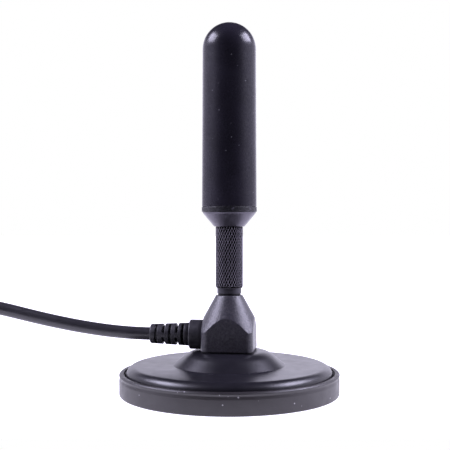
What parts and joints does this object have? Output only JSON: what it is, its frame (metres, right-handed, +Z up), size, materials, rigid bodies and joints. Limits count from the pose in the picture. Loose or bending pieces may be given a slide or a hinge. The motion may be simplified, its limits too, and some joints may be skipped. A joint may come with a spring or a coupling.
{
  "type": "magnetic mount antenna",
  "caption": "Mobile-signal antenna: thick round radome on a knurled screw-in neck, cast housing, magnetic base in a rubber boot, coax lead with screw-on plug.",
  "frame": {"origin": "centre of the rubber boot's underside", "axes": "+Z up along the mast; the lead leaves the housing towards -X"},
  "size_m": [0.2202, 0.0862, 0.1403],
  "materials": {
    "radome_plastic": "satin moulded black with fine grain",
    "coated_metal": "satin black coating on metal",
    "rubber_black": "matte black rubber",
    "pvc_black": "semi-gloss black cable jacket",
    "relief_pvc": "matte moulded strain relief",
    "ferrite": "sintered dark grey",
    "steel": "zinc-plated",
    "brass": "bright",
    "gold_plate": "gold plated",
    "nickel": "nickel plated",
    "ptfe": "white PTFE",
    "foam": "closed-cell foam",
    "copper": "copper",
    "board": "glass-epoxy board",
    "holder": "natural moulding",
    "tie": "black tie"
  },
  "bodies": {
    "base": {"rubber_boot": "rubber_black", "base_cover": "coated_metal", "ring_magnet": "ferrite", "keeper_plate": "steel", "adhesive_pad": "foam", "housing_shell": "coated_metal", "housing_gasket": "rubber_black", "housing_screws": "steel", "socket_insert": "brass", "contact_insulator": "ptfe", "feed_contact": "gold_plate", "ground_lug": "steel", "strain_relief": "relief_pvc", "cable_stub": "pvc_black", "crimp_ring": "nickel", "cable_braid": "copper", "cable_dielectric": "ptfe", "cable_conductor": "copper", "cable_tube": "pvc_black", "cable_tail": "pvc_black", "cable_coil": "pvc_black", "coil_ties": "tie", "connector_ferrule": "gold_plate", "connector_body": "gold_plate", "connector_insulator": "ptfe", "connector_pin": "gold_plate", "connector_gasket": "rubber_black"},
    "seal": {"seal_washer": "rubber_black"},
    "mast": {"knurled_neck": "coated_metal", "mast_stud": "brass", "neck_insulator": "ptfe", "feed_rod": "brass", "cone_adapter": "coated_metal", "radome_ring": "radome_plastic", "radome": "radome_plastic", "board_holder": "holder", "radiator_board": "board", "radiator_foil": "copper", "top_pad": "foam"},
    "coupling_nut": {"connector_nut": "gold_plate"}
  },
  "joints": [
    {"name": "mast_rise", "type": "slide", "parent": "base", "child": "seal", "axis": [0, 0, 1], "range_m": [0, 0.0064]},
    {"name": "mast_turn", "type": "hinge", "parent": "seal", "child": "mast", "pos_m": [0, 0, 0.038], "axis": [0, 0, 1], "range_deg": [0, 2880]},
    {"name": "nut_turn", "type": "hinge", "parent": "base", "child": "coupling_nut", "pos_m": [-0.1735, -0.0357, 0.00475], "axis": [-1, 0, 0], "continuous": true}
  ],
  "couplings": [
    {"joint": "mast_rise", "follows": "mast_turn", "m_per_rad": 0.00012732}
  ]
}
